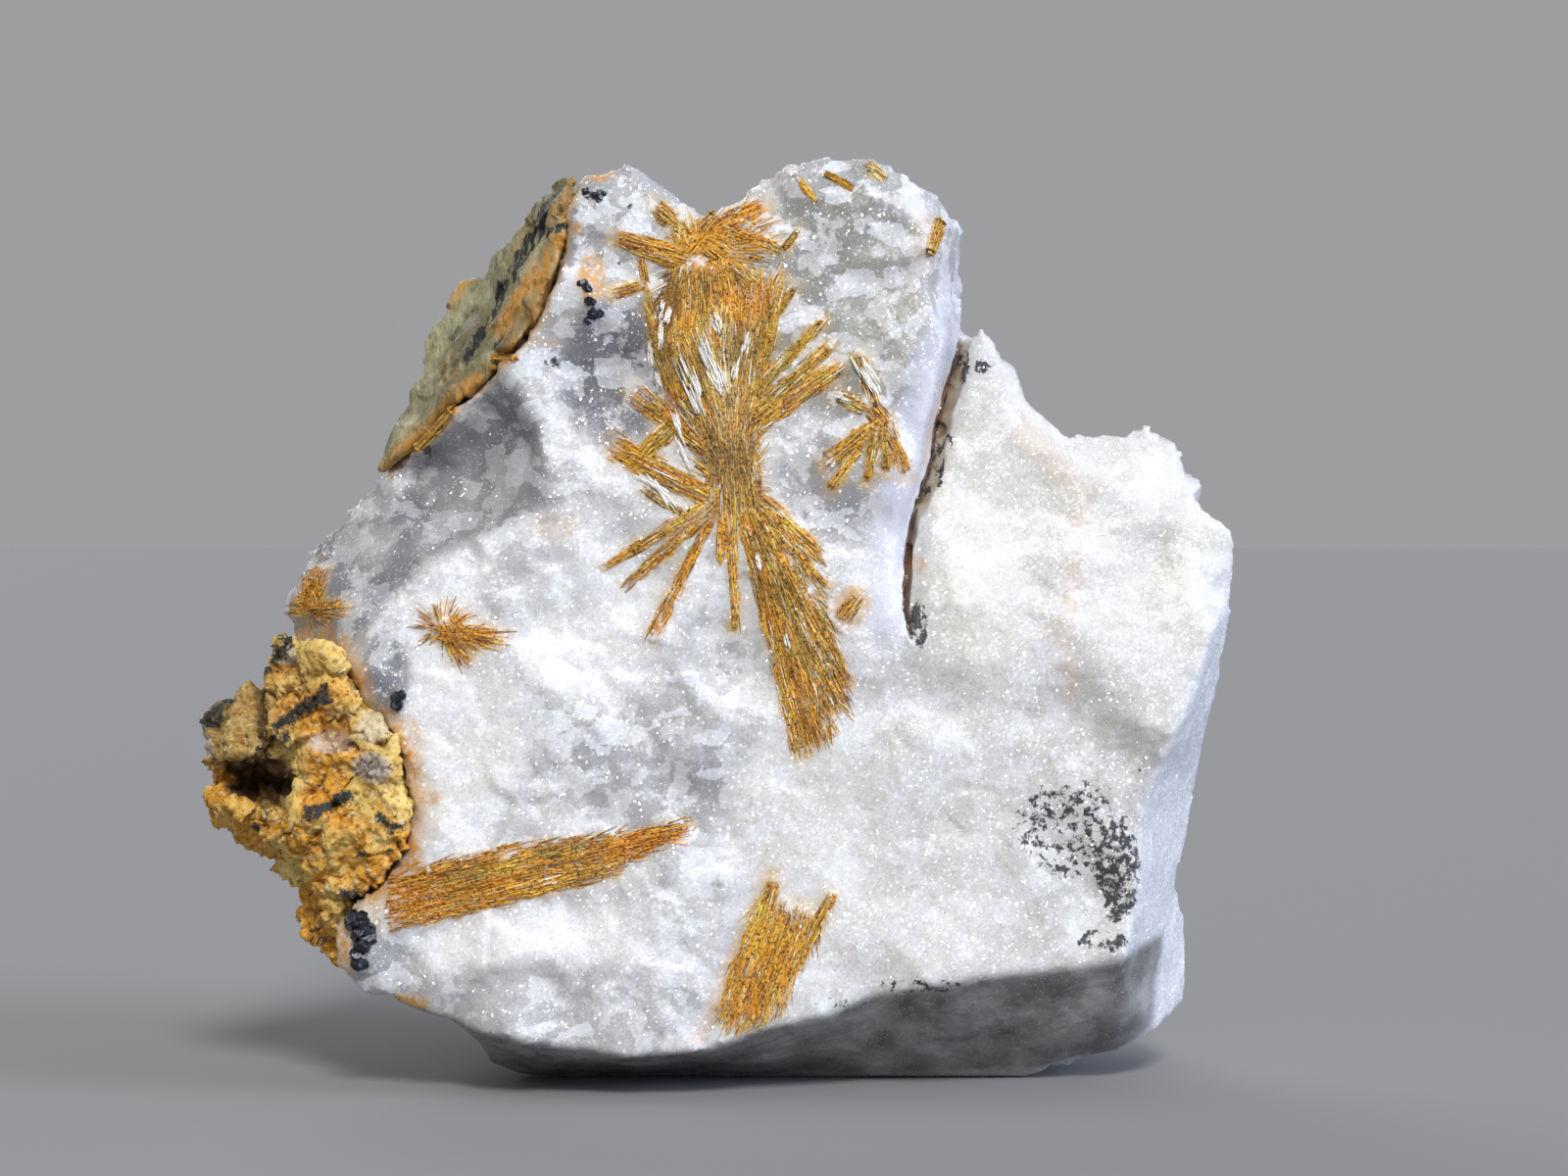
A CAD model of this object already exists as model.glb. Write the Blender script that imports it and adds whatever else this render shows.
"""Ardennite specimen, dressed: sugary milky quartz, fibrous golden ardennite, crumbly ochre crust, schist rind
and black hematite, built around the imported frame.

Tables are in millimetres, seen from the front: X to the right, Z up from the foot. Meshes are in metres."""

import math
import random

import bmesh
import bpy
import numpy as np
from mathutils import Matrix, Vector
from mathutils.bvhtree import BVHTree


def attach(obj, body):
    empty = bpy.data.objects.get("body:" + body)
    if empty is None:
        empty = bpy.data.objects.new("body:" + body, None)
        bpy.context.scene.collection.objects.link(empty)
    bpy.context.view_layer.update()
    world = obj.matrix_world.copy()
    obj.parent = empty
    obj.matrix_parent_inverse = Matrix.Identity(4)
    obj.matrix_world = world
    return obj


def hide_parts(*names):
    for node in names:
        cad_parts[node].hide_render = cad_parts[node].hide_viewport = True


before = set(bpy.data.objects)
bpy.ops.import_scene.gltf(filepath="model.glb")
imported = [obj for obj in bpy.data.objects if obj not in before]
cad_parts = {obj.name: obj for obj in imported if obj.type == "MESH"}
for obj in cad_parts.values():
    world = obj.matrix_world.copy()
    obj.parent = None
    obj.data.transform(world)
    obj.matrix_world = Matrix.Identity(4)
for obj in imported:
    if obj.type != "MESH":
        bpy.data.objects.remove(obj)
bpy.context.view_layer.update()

MM = 0.001
FACE_WAY = Vector((0, 1, 0))  # the viewer looks along +Y

# Mesh sizes, in millimetres
QUARTZ_VOXEL = 0.72
CRUST_VOXEL = 0.17
RIND_VOXEL = 0.27

# Camera: the photograph is 1600 by 1200 pixels, with 12 of them to a millimetre on the show face
PIXELS_PER_MM = 12.0
IMAGE_WIDTH = 1600
IMAGE_CENTRE = (800, 600)
ORIGIN_PIXEL = (736, 1120)  # where x = 0, z = 0 lies in the photograph
FACE_DEPTH = -18.0
LENS = 85.0
SENSOR = 36.0
LOOK_DOWN = 1.5  # degrees

# Lines and outlines on the show face
CRACK = [
    (20.75, 64.6), (19.25, 59.6), (18.5, 56.75), (17.9, 53.25), (16.9, 50.75), (16.3, 48.3), (15.9, 45.6),
    (15.7, 41.8), (16.3, 38.75),
]
SEAM = [(16.3, 38.75), (10.5, 35), (6, 27.5), (3, 20), (0.75, 13), (-2, 6)]  # runs on from the crack
RIDGE = [
    (-31.75, 37.7), (-30.1, 40), (-27.2, 43.3), (-24.25, 45.7), (-19.7, 47.9), (-15.9, 50),
    (-13.7, 50.7), (-15, 54.2), (-15.7, 57.5), (-17.2, 60), (-18, 62.5),
]
RIND_CREASE = [
    (-12.2, 78.5), (-13.25, 75), (-13.8, 70.8), (-15.7, 65.8), (-17.8, 63.5), (-19.7, 61.25),
    (-22.2, 59.3), (-24.7, 56.4), (-26.75, 55.2), (-29.25, 53.2),
]
TROUGH = RIDGE + RIND_CREASE[4:] + [(-34, 50), (-40, 46), (-42, 38), (-34, 36.5)]
FLANK_EDGE = [(44.6, 46.7), (42, 40), (39.9, 33.3), (37, 27.5), (35.75, 22.5), (35.6, 18.3), (34.5, 13.3)]
FLANK = FLANK_EDGE + [(34.5, -5), (60, -5), (60, 60), (46, 50)]
UNDERCUT_EDGE = [
    (-26.3, 7.8), (-20.5, 5.9), (-14.7, 4.8), (-8, 3.7), (-1.3, 4.3), (3.7, 6.1), (8.7, 7.1), (13.7, 9),
    (22, 10.3), (30.3, 11.1), (34.5, 11.9), (39.5, 13.3),
]
UNDERCUT = UNDERCUT_EDGE + [(50, 12), (50, -5), (-30, -5)]
RIGHT_SLAB = CRACK + SEAM + [(-2, -5), (60, -5), (60, 70), (21, 70)]
CRUST_EDGE = [
    (-32.7, 11.2), (-32.7, 13.3), (-32.7, 16.25), (-29.5, 18.3), (-26.6, 20.2), (-27.5, 23.2),
    (-27.3, 25.7), (-26.9, 28.5), (-28.5, 31.2), (-30.8, 32.7), (-31.5, 35.9), (-33, 38), (-36.3, 38.6),
]
CRACK_STAIN = [(19.4, 61.2), (18.5, 57.5), (17.4, 54)]
PEACH_STREAK = [(25.5, 57), (28.25, 54.2), (30.75, 51.7), (30.3, 46.7), (29.1, 40), (29.5, 35)]
SELVAGE = [(2.7, 16.3), (1, 12.5), (-0.4, 9), (-2, 5.2)]

# Patches: x, z, half width, half height, strength
LAVENDER_PATCHES = [
    (-9, 61.5, 4.5, 5.5, 1.0), (-28.4, 35.6, 1.8, 3.2, 0.8), (-15, 8, 14, 3.5, 0.5), (9, 52.5, 4, 4, 0.4),
    (-6, 28, 7, 5, 0.45), (-16, 71, 4, 5, 0.4), (-12, 20, 8, 3, 0.3), (34, 26, 3, 5, 0.3),
]
CREAM_PATCHES = [
    (24, 47, 7, 12, 0.8), (41, 43.5, 3, 6, 1.0), (-32, 48.5, 3, 2.5, 0.5), (14, 68, 4, 5, 0.5),
    (31, 30, 6, 6, 0.35), (12, 30, 4, 5, 0.35), (8, 22, 6, 8, 0.5), (-22, 31, 4, 7, 0.45),
]
MILK_PATCHES = [
    (-22.2, 31.7, 5, 9, 1.0), (-14.7, 10, 10.8, 5.8, 0.9), (7.8, 22.5, 6.7, 8.3, 1.0), (16.2, 14, 10, 5, 0.8),
    (22, 41.7, 4, 10.8, 0.7), (36.2, 43.3, 6, 7.5, 0.6), (-11.3, 40, 6.7, 5, 0.8), (14, 73, 4, 4, 0.4),
    (-29, 48.5, 4, 2, 0.5), (40, 53, 4, 3, 0.6), (-11, 21, 5, 3, 0.7),
]
GREY_PATCHES = [
    (9.5, 66.3, 7.5, 9, 1.1), (-8, 73.3, 4.5, 5.5, 0.9), (-3.8, 28.5, 6.5, 6.5, 0.25), (12, 54, 5, 6.7, 0.6),
    (30.3, 30, 8, 5.8, 0.4), (-2.5, 37, 4, 4, 0.6), (-28.2, 10.5, 3, 3, 0.8), (-11.5, 75, 3, 3, 0.8),
    (-28.4, 36, 2.4, 4, 0.5),
]
RUST_PATCHES = [
    (-27.2, 31, 1.6, 1.6, 0.7), (-26.6, 8.2, 1.6, 0.7, 1.0), (-11.2, 78.9, 2.0, 0.9, 0.9),
    (-14, 48.6, 2.0, 1.0, 0.25), (-25.2, 25.6, 1.5, 0.6, 0.6), (-21.5, 39.6, 3.2, 1.6, 0.3),
    (11, 41.8, 1.5, 1.5, 0.5), (17.6, 73, 1.4, 2.2, 0.3), (-11, 69.6, 1.1, 1.9, 0.9), (3, 78.7, 3, 0.8, 0.2),
    (-12.2, 73.9, 0.5, 0.5, 0.8), (-15.3, 64.2, 1.4, 0.3, 0.4), (16.6, 45.4, 0.8, 0.7, 0.4),
]
SPECK_PATCHES = [
    (29.8, 22.8, 4.8, 4.0, 0.72), (33.8, 19.3, 1.8, 4.4, 0.9), (32.5, 13.2, 2.2, 1.0, 0.8),
    (17.2, 9.6, 3.6, 0.7, 0.7), (34.6, 27.9, 1.6, 0.8, 0.5), (20.7, 62.4, 0.6, 1.7, 0.85),
    (22.3, 62.2, 0.7, 0.6, 0.9), (16.8, 40.3, 0.8, 2.0, 0.85), (19.3, 55.8, 0.5, 0.9, 0.8),
    (18.5, 54.0, 0.5, 2.4, 0.75), (17.5, 52.1, 0.4, 0.9, 0.8), (-27, 11, 5, 3, 0.3), (10.5, 8.2, 2.4, 0.5, 0.5),
    (-10.8, 76.7, 1.2, 0.6, 0.85), (-25.3, 55, 0.3, 0.5, 1.4), (-14.4, 62.5, 0.7, 0.7, 0.8),
    (-8.75, 71, 0.25, 0.25, 1.2), (-29, 7.5, 2, 1.5, 0.6), (-12.5, 71.5, 0.3, 0.3, 0.8), (-7.7, 75.7, 0.3, 0.3, 0.9),
]
# Dark metallic smears on the crust, as lines with a half width, and pale bits of quartz in it
METAL_LINES = [
    (-37.6, 31.7, -33.4, 34.3, 0.85), (-34.6, 24.2, -31.5, 25.8, 0.7), (-28.9, 24.0, -28.0, 23.2, 0.7),
    (-30.6, 21.0, -27.9, 21.1, 0.3), (-44.6, 30.2, -42.3, 33.3, 0.6), (-38.9, 35.8, -36.8, 38.7, 0.7),
    (-39.1, 29.6, -36.8, 31.1, 0.5), (-40.0, 22.8, -39.6, 22.4, 0.4), (-31.5, 17.2, -29.6, 16.2, 0.9),
]
PALE_PATCHES = [
    (-33, 30.3, 1.8, 0.8, 0.7), (-29.4, 28.2, 1.6, 1.2, 0.9), (-36.9, 37.6, 0.8, 0.8, 0.8),
    (-44, 29.5, 0.8, 0.7, 0.8), (-29.5, 31.5, 1.2, 1.2, 0.5),
]
PIT_PATCHES = [(-39.4, 26.9, 2.9, 2.0, 1.0)]
HORN_PATCHES = [(10, 68, 6.5, 9, 1.0)]
RED_VEIN_PATCHES = [(16.3, 45.8, 1.0, 1.2, 1.0)]
# The brown knob on the crust's left edge, and the cleft beside it
KNOB = [(-45, 27.5), (-38.5, 29.5), (-38.5, 36), (-45, 36)]
CLEFT = [(-39.9, 35.2), (-39.2, 32), (-38.4, 29)]
# Streaks and bands on the rind, as lines of x, z, half width
BLACK_STREAK = [
    (-13.7, 77.4, 0.25), (-14.9, 75.6, 0.65), (-16.3, 73.2, 0.75), (-17.1, 71.7, 0.65), (-18.1, 70, 0.42),
    (-19.1, 68.4, 0.42), (-19.8, 66.8, 0.34), (-20.7, 64.8, 0.34), (-21.3, 63.3, 0.5), (-22.1, 61.5, 0.15),
]
SMALL_STREAKS = [
    [(-22.4, 63.7, 0.25), (-22.9, 62.2, 0.2)], [(-18.8, 64.7, 0.2), (-19.6, 63.5, 0.15)],
    [(-13.5, 74.2, 0.3), (-14.7, 73.2, 0.25)], [(-22.5, 58.7, 0.2), (-23.1, 58.3, 0.2)],
    [(-24.0, 57.9, 0.2), (-24.3, 57.6, 0.2)],
]
RUST_BANDS = [
    [(-12.6, 77.0, 0.7), (-13.6, 73.5, 0.7), (-14.3, 70.8, 0.9), (-17.1, 68.1, 0.8), (-18.6, 65.2, 0.8)],
    [(-20.5, 60.9, 0.7), (-22.3, 59.3, 0.9), (-24.6, 56.7, 0.9), (-27.4, 54.9, 0.7)],
    [(-22.5, 69.8, 0.4), (-24.1, 67.8, 0.4)],
]

# Ardennite laths by cluster: root x, root z, tip x, tip z, root width, tip width, look. The order sets the seeds.
# Looks: g golden, o olive, r rusty, s silvery, w tan waist, t the mixed filling between laths
# All but the last lath of the long blade are solids in part.py as well
SPRAYS = {"main_spray": [
    (0.5, 57.5, 0.75, 49.6, 3.6, 3.6, "w"), (1.3, 56.7, 2.7, 50, 2.6, 2.2, "w"),
    (-1.2, 50.3, -9.8, 45.2, 1.3, 0.6, "g"), (-1.7, 49.2, -8.3, 43.3, 1.2, 0.8, "g"),
    (-0.8, 49.2, -5.9, 39.2, 0.7, 1.2, "r"), (0.7, 50.4, 1.3, 39.8, 1.5, 0.5, "g"),
    (0.2, 50.4, -0.1, 45.4, 0.9, 0.5, "g"), (1.8, 49.6, 6.8, 29.6, 1.2, 1.6, "g"),
    (2.2, 49.6, 8, 30.7, 1.2, 1.8, "r"), (2.5, 49.8, 9.1, 33.5, 1.2, 2.0, "o"),
    (2.8, 50, 10.5, 35.4, 1.1, 1.6, "g"), (3, 51.2, 8.5, 46.4, 1.4, 0.8, "g"),
    (3.2, 50.4, 8.8, 45.3, 1.0, 0.6, "g"), (2.8, 50, 9, 43.6, 0.9, 0.4, "g"),
    (2.4, 56.7, 10, 62.2, 1.8, 1.4, "g"), (2.4, 57.9, 9.25, 63.75, 1.5, 1.0, "o"),
    (2.2, 59.2, 8.6, 66, 1.3, 0.7, "o"), (0.5, 55, -2, 65, 2.0, 2.0, "s"),
    (0.75, 55, 0.1, 67.5, 2.0, 2.2, "s"), (1.2, 55.4, 2.4, 68.3, 2.0, 2.2, "g"),
    (1.7, 55.8, 4.9, 69.2, 1.8, 1.5, "o"), (0.2, 54.6, -3.8, 64.6, 1.8, 1.6, "o"),
    (-0.9, 51, -9.25, 55.4, 1.8, 2.2, "g"), (-7.2, 54.2, -3.8, 57.5, 1.6, 1.4, "o"),
    (-2.8, 49.4, -6.6, 51.8, 0.9, 0.7, "s"), (-1.2, 55, -7.3, 60, 1.6, 2.2, "g"),
    (-0.9, 56.7, -3.8, 59.6, 1.0, 0.8, "s"),
    (-3.25, 70.4, -5, 64.2, 2.4, 1.8, "o"), (-2.6, 70.8, -3.2, 64.2, 2.8, 2.8, "g"),
    (-1.5, 70.8, -1.2, 64.2, 2.6, 2.4, "w"), (-0.3, 71.5, 0.75, 65.8, 2.4, 2.2, "r"),
    (-1.75, 73.3, 0.75, 71.5, 2.6, 2.4, "w"), (-5, 64.6, -3.8, 59.2, 2.0, 1.6, "r"),
    (-2.6, 71.25, -8.8, 73.1, 1.8, 1.2, "g"), (-3, 70.7, -7.6, 72.1, 1.2, 0.8, "g"),
    (-3, 71.5, 0, 75, 2.6, 2.2, "r"), (-0.4, 74.2, 5.1, 72, 1.3, 0.7, "g"),
    (0.5, 70.8, 2.7, 69, 1.8, 1.6, "o"), (5.2, 72, 6.6, 73.7, 0.6, 0.5, "o"),
    (4.6, 66.5, 6.3, 68.9, 0.8, 0.8, "o"), (-6.75, 71.4, -5.6, 63.9, 0.6, 0.6, "o"),
    (-9.1, 68.3, -6.5, 69.1, 1.2, 0.9, "g"), (-5.7, 75.8, -3.7, 74.2, 1.6, 1.2, "g"),
    (-3.7, 74.5, -2.8, 71.5, 1.6, 1.6, "o"), (-1.2, 73.6, 3.5, 75.9, 1.7, 1.2, "r"),
], "side_spray": [
    (12.7, 58.6, 14, 57.1, 1.6, 1.6, "r"), (13.25, 58.5, 11.7, 63.2, 1.3, 0.9, "s"),
    (12.8, 58.3, 10, 59.6, 1.1, 1.3, "s"), (13.4, 57.5, 9.1, 54, 1.2, 1.9, "g"),
    (12, 55.4, 9.3, 51.8, 1.0, 0.9, "g"), (13.2, 57, 12.4, 52.5, 1.4, 0.6, "o"),
    (13.9, 57.7, 15.7, 53.1, 1.2, 1.3, "g"), (13.7, 57.5, 14.1, 53.3, 1.0, 0.8, "o"),
], "long_blade": [
    (-28, 16.2, -3.25, 23.1, 2.0, 1.5, "r"), (-28.1, 15.2, -9.25, 19.75, 1.9, 1.8, "g"),
    (-24.7, 17.9, -11.3, 21.7, 1.8, 1.6, "o"), (-28.2, 17.8, -19.0, 20.4, 1.4, 1.5, "r"),
], "foot_spray": [
    (4.5, 18.5, 0.5, 7.1, 1.3, 2.4, "g"), (5.75, 16.25, 2.4, 7.1, 1.8, 2.6, "r"),
    (7.2, 15.8, 4.1, 8.3, 1.4, 1.8, "g"), (9.5, 17.5, 5.3, 10, 0.8, 1.2, "g"),
], "knot": [
    (-24.7, 39.8, -19, 39.2, 1.3, 1.2, "r"), (-23.4, 40.8, -21.75, 38.2, 2.0, 2.0, "r"),
], "left_spray": [
    (-34.7, 45, -36.1, 41.2, 1.5, 1.6, "r"), (-35.4, 43.6, -34.4, 40.4, 1.4, 1.4, "g"),
    (-35.9, 41.2, -32.4, 41.6, 1.3, 1.0, "r"),
], "edge_spray": [
    (18.7, 74.8, 17.8, 71.7, 1.4, 1.0, "g"),
], "stub": [
    (11.7, 42.75, 10.1, 40.6, 1.4, 1.6, "g"),
], "rim_needle_1": [
    (6.3, 78.5, 8.2, 76, 0.7, 0.5, "g"),
], "rim_needle_2": [
    (8.9, 78.6, 11.3, 77.2, 0.8, 0.6, "g"),
], "rim_needle_3": [
    (12.3, 79.4, 14, 78, 1.5, 1.2, "s"),
], "rind_lath_1": [
    (-26.3, 55.1, -22.9, 58.6, 1.0, 0.9, "r"),
], "rind_lath_2": [
    (-19.4, 63, -17.2, 62.8, 0.9, 0.7, "r"),
]}
# Clusters that stain the quartz around them
STAINING = ("main_spray", "side_spray", "long_blade", "foot_spray", "knot", "left_spray", "stub")
# Places between the laths that fine needles fill: outline, centre that they radiate from, look
FILLS = {"main_spray": [
    ([(-6, 66.5), (-2.5, 68.5), (2.5, 69), (5, 69.5), (4.3, 63.5), (4.2, 61), (3.5, 57.5), (2.8, 53), (2.5, 50),
      (-0.8, 50), (-2, 53.5), (-3.2, 56.5), (-4, 59.5), (-5.7, 63)], (0.8, 52), "t"),
    ([(-3.8, 73.5), (-1.5, 74.5), (1.5, 75.8), (3.2, 74.5), (4, 72.3), (2.4, 70.8), (1.8, 69), (2.5, 67.5),
      (0, 66.5), (-2.5, 67), (-5.2, 66), (-4.8, 69.5), (-4, 71)], (-1.5, 71.8), "g"),
    ([(2.8, 51.7), (4.5, 50), (7.8, 45.4), (9.5, 40), (10.75, 35), (9.5, 31.7), (6.6, 30.4), (5.75, 31.7),
      (5.3, 35.8), (4.1, 41.7), (2.8, 46.7)], (1.5, 54), "t"),
], "long_blade": [
    ([(-28.8, 18.9), (-23.8, 20.2), (-18, 21.8), (-11.3, 22.3), (-3.8, 23.5), (-3.3, 22.5), (-6.3, 21),
      (-9.7, 19.2), (-14.7, 17.9), (-20.5, 16.3), (-28, 14.8)], (-125, -7.3), "r"),
], "foot_spray": [
    ([(4.5, 18.9), (5.3, 17.1), (7.8, 16.25), (9.7, 17.7), (9.5, 16.8), (8.5, 14.2), (6.6, 11.3), (4.9, 7.1),
      (2.8, 6.3), (0.2, 6.7), (0, 7.5), (0.75, 10.8), (2, 14.2), (2.8, 17.1)], (14, 46), "g"),
], "knot": [
    ([(-24.9, 40.9), (-23, 41.2), (-21.5, 40.2), (-19.2, 39.6), (-19.1, 38.9), (-21, 38.3), (-22.6, 37.8),
      (-23.5, 38.9), (-24.8, 39.2)], (-23.6, 40), "r"),
], "left_spray": [
    ([(-36.7, 45.4), (-35.6, 44.6), (-35, 43), (-34.6, 41.8), (-32.6, 41.8), (-32.4, 41.2), (-34, 40.4),
      (-36, 40.2), (-38.2, 40.2), (-38.4, 42), (-37.6, 44)], (-35.5, 41), "g"),
]}
# Glassy blades that catch the light: x, z, direction in degrees, length, width
GLASSY_BLADES = {"side_spray": [
    (12.6, 61.4, 120, 4.0, 0.9), (10.4, 59.5, 160, 1.8, 0.6), (9.4, 54.0, 60, 0.9, 0.4),
    (12.3, 61.6, 116, 3.4, 0.8), (12.7, 60.8, 118, 3.0, 0.6),
], "main_spray": [
    (-1.4, 63.4, 112, 3.6, 0.6), (-0.4, 65.8, 108, 2.0, 0.6), (-5.0, 66.8, 80, 1.8, 0.25), (2.2, 64.0, 78, 2.4, 0.4),
    (-2.6, 61.6, 112, 4.2, 0.5), (-2.1, 60.6, 114, 3.4, 0.4), (-0.5, 60.6, 118, 2.6, 0.4),
    (-5.2, 60.8, 106, 2.6, 0.35), (-3.6, 57.0, 112, 3.6, 0.35), (-4.6, 50.9, 125, 3.2, 0.45),
    (-5.6, 52.2, 132, 2.0, 0.3), (1.2, 61.8, 82, 2.0, 0.3), (-4.4, 66.4, 75, 1.8, 0.45), (-5.8, 63.4, 92, 2.4, 0.3),
    (3.2, 45.6, 100, 1.6, 0.3), (5.6, 38.8, 108, 2.0, 0.25), (-0.9, 62.6, 112, 4.4, 0.8), (0.0, 61.2, 110, 3.0, 0.6),
    (-2.6, 60.2, 113, 5.4, 0.45), (-5.0, 64.8, 86, 2.8, 0.45), (-3.2, 54.6, 116, 3.8, 0.35),
    (-5.8, 52.2, 150, 3.2, 0.3),
]}
# Colours of the needles in each look, each with its share: linear red, green, blue
GOLD = (0.86, 0.42, 0.02)
PALE_GOLD = (0.97, 0.62, 0.14)
ORANGE = (0.68, 0.25, 0.018)
BROWN = (0.30, 0.12, 0.018)
DARK = (0.07, 0.028, 0.008)
OLIVE = (0.42, 0.31, 0.045)
TAN = (0.52, 0.34, 0.13)
CREAM = (0.88, 0.70, 0.40)
LOOKS = {
    "g": ((GOLD, 6), (PALE_GOLD, 3), (ORANGE, 3), (BROWN, 0.8), (DARK, 0.3), (OLIVE, 0.8), (CREAM, 0.7)),
    "o": ((GOLD, 3), (PALE_GOLD, 1.2), (ORANGE, 1.2), (BROWN, 0.8), (DARK, 0.3), (OLIVE, 5), (CREAM, 0.5)),
    "r": ((GOLD, 4), (PALE_GOLD, 0.6), (ORANGE, 6), (BROWN, 1.8), (DARK, 0.5), (OLIVE, 0.5), (CREAM, 0.05)),
    "s": ((GOLD, 2), (PALE_GOLD, 3), (ORANGE, 1), (BROWN, 0.6), (DARK, 0.3), (OLIVE, 1.5), (CREAM, 5)),
    "w": ((GOLD, 3), (PALE_GOLD, 1.2), (ORANGE, 1.4), (BROWN, 2.0), (DARK, 1.0), (OLIVE, 2), (TAN, 4)),
    "t": ((GOLD, 4), (PALE_GOLD, 1.8), (ORANGE, 2.4), (BROWN, 1.4), (DARK, 0.6), (OLIVE, 3), (TAN, 2)),
}
# Colours of the stone
QUARTZ_GREY, QUARTZ_WHITE, SHADE_GREY = (0.42, 0.42, 0.43), (0.90, 0.90, 0.90), (0.15, 0.15, 0.18)
LAVENDER, PALE_LAVENDER, FLANK_BLUE = (0.60, 0.61, 0.76), (0.72, 0.73, 0.84), (0.84, 0.88, 1.0)
SLAB_GREY, HORN_GREY, UNDERCUT_BLACK = (0.64, 0.63, 0.61), (0.27, 0.265, 0.235), (0.05, 0.05, 0.047)
CREAM_QUARTZ, PEACH, STAIN_BROWN = (0.74, 0.715, 0.62), (0.80, 0.60, 0.48), (0.55, 0.38, 0.29)
WALL_BROWN, CRACK_RED = (0.40, 0.31, 0.19), (0.06, 0.022, 0.016)
BACK_BROWN, HALO_OCHRE = (0.66, 0.52, 0.34), (0.72, 0.47, 0.17)
CRUST_ORANGE, CRUST_YELLOW, CRUST_PALE = (0.94, 0.44, 0.045), (1.0, 0.74, 0.23), (0.68, 0.65, 0.64)
KNOB_BROWN, CREVICE_BROWN = (0.34, 0.20, 0.075), (0.26, 0.09, 0.012)
RIND_DARK, RIND_PALE, RIM_BROWN = (0.15, 0.14, 0.07), (0.40, 0.38, 0.21), (0.10, 0.07, 0.035)
VEIN_BLACK, VEIN_RED = (0.03, 0.02, 0.018), (0.13, 0.04, 0.028)
SHADOW_BROWN, SLIVER_WHITE = (0.22, 0.13, 0.02), (1.0, 0.97, 0.90)
# Darker, greener and more orange places in the sprays: x, z, half width, half height, strength, tint
SPRAY_TONES = [
    (-4.5, 67.9, 1.1, 3.0, 0.75, (0.20, 0.065, 0.008)), (-1.75, 61.6, 0.25, 2.5, 0.8, (0.13, 0.045, 0.008)),
    (-4.5, 61.6, 1.6, 1.9, 0.6, (0.30, 0.25, 0.06)), (1.9, 63.2, 1.4, 2.4, 0.7, (0.26, 0.20, 0.075)),
    (0.8, 56.0, 2.0, 4.2, 0.6, (0.27, 0.17, 0.07)), (2.4, 67.9, 1.9, 1.9, 0.6, (0.72, 0.27, 0.015)),
    (-1.0, 71.9, 4.0, 1.6, 0.6, (0.92, 0.45, 0.02)), (3.0, 74.3, 1.1, 2.2, 0.6, (0.80, 0.33, 0.015)),
    (-8.0, 73.5, 3.0, 1.3, 0.6, (0.82, 0.33, 0.015)), (-4.3, 58.8, 0.6, 1.3, 0.8, (0.62, 0.20, 0.01)),
    (-8.2, 54.4, 1.8, 1.3, 0.7, (0.95, 0.45, 0.01)), (-8.2, 60.0, 1.2, 1.0, 0.7, (0.75, 0.28, 0.012)),
    (6.2, 64.8, 1.8, 1.2, 0.5, (0.85, 0.55, 0.04)), (9.0, 63.2, 1.4, 1.4, 0.5, (0.90, 0.47, 0.02)),
    (3.2, 47.0, 0.6, 5.0, 0.5, (0.22, 0.10, 0.015)), (6.0, 41.0, 1.4, 4.0, 0.4, (0.42, 0.30, 0.05)),
    (-26.0, 16.3, 3.2, 1.7, 0.6, (0.66, 0.22, 0.01)), (-20.0, 17.6, 2.4, 1.0, 0.5, (0.80, 0.30, 0.01)),
    (-5.5, 21.6, 3.4, 1.2, 0.7, (0.72, 0.25, 0.01)), (-14.0, 19.0, 3.5, 0.9, 0.4, (0.70, 0.33, 0.015)),
    (1.4, 9.0, 2.0, 2.4, 0.5, (0.62, 0.24, 0.01)), (3.6, 14.0, 1.6, 2.4, 0.4, (0.92, 0.50, 0.03)),
]
# Needles, in millimetres
NEEDLE_LENGTHS = (0.5, 2.6)
FILL_LENGTHS = (0.6, 2.2)
NEEDLE_HALF_WIDTHS = (0.03, 0.075)
SLIVER_HALF_WIDTHS = (0.045, 0.10)
NEEDLES_PER_MM2 = 15.5
THIN_LATH = 1.0  # laths narrower than this are packed twice as close
SLIVERS = 14  # in each glassy blade
SHINY_SHARE = 0.022  # needles that flash white, except in rusty laths
SPRAY_CROWN = 0.3  # how far the middle of a lath stands out
BED_DEPTH = 0.3  # how far the CAD form lies below its own surface, as the bed of the needles
# Rings of a needle: share of its length, share of its width, rise. Each ring has a point at these parts of a turn
NEEDLE_RINGS = ((0.0, 0.5, -0.1), (0.3, 1.0, 0.0), (1.0, 0.5, -0.08))
NEEDLE_TURNS = (0.1, 0.4333, 0.7667)

# Hematite plates: x, z, size
HEMATITE_CLUSTER = [
    (-31.1, 15.4, 1.0), (-30.0, 15.2, 0.9), (-29.9, 14.1, 1.0), (-30.6, 12.9, 1.0), (-30.4, 11.6, 0.8),
]
HEMATITE_GRAINS = [
    (-11.8, 69.1, 0.55), (-11.3, 68.8, 0.5), (-11.0, 67.5, 0.5), (-10.6, 66.8, 0.7), (-11.0, 66.3, 0.6),
    (-11.6, 77.0, 0.4), (-10.6, 76.5, 0.45), (-9.9, 76.9, 0.35),
]
HEMATITE_LATH = [(-27.3, 34.3, 0.6), (-27.3, 33.2, 0.6)]

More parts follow.
